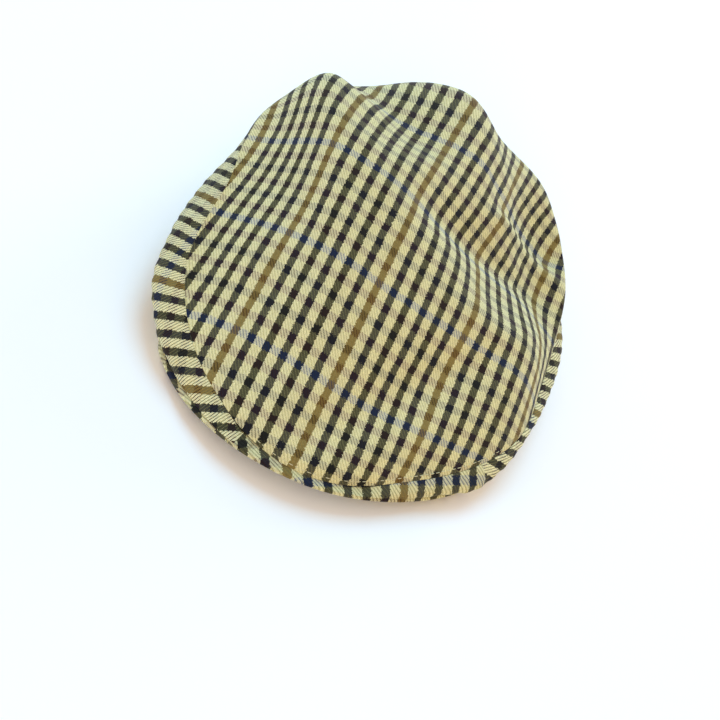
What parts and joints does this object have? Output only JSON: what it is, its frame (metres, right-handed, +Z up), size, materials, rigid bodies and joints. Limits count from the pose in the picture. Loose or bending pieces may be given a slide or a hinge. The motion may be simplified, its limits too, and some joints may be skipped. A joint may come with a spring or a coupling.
{
  "type": "flat cap",
  "caption": "Soft checked-wool flat cap: one-piece slouched top panel, tapering side bands and a short cloth-covered peak, standing on its rim.",
  "frame": {"origin": "middle of the cap's footprint, on the surface that the rim stands on", "axes": "+Z up; the peak points along -Y; left and right are named as seen from in front of the peak, so +X is right, the wearer's left"},
  "size_m": [0.244, 0.2852, 0.0981],
  "materials": {
    "crown_cloth": "wool twill, cream ground with a small gun-club check in brown, navy, black, maroon and blue",
    "band_cloth": "the same wool twill, cut so that its stripes cross the band",
    "peak_cloth": "the same wool twill over a stiff peak, top-stitched near the edge"
  },
  "bodies": {
    "root": {"crown_top": "crown_cloth", "side_band_left": "band_cloth", "side_band_right": "band_cloth", "peak": "peak_cloth"}
  },
  "joints": []
}
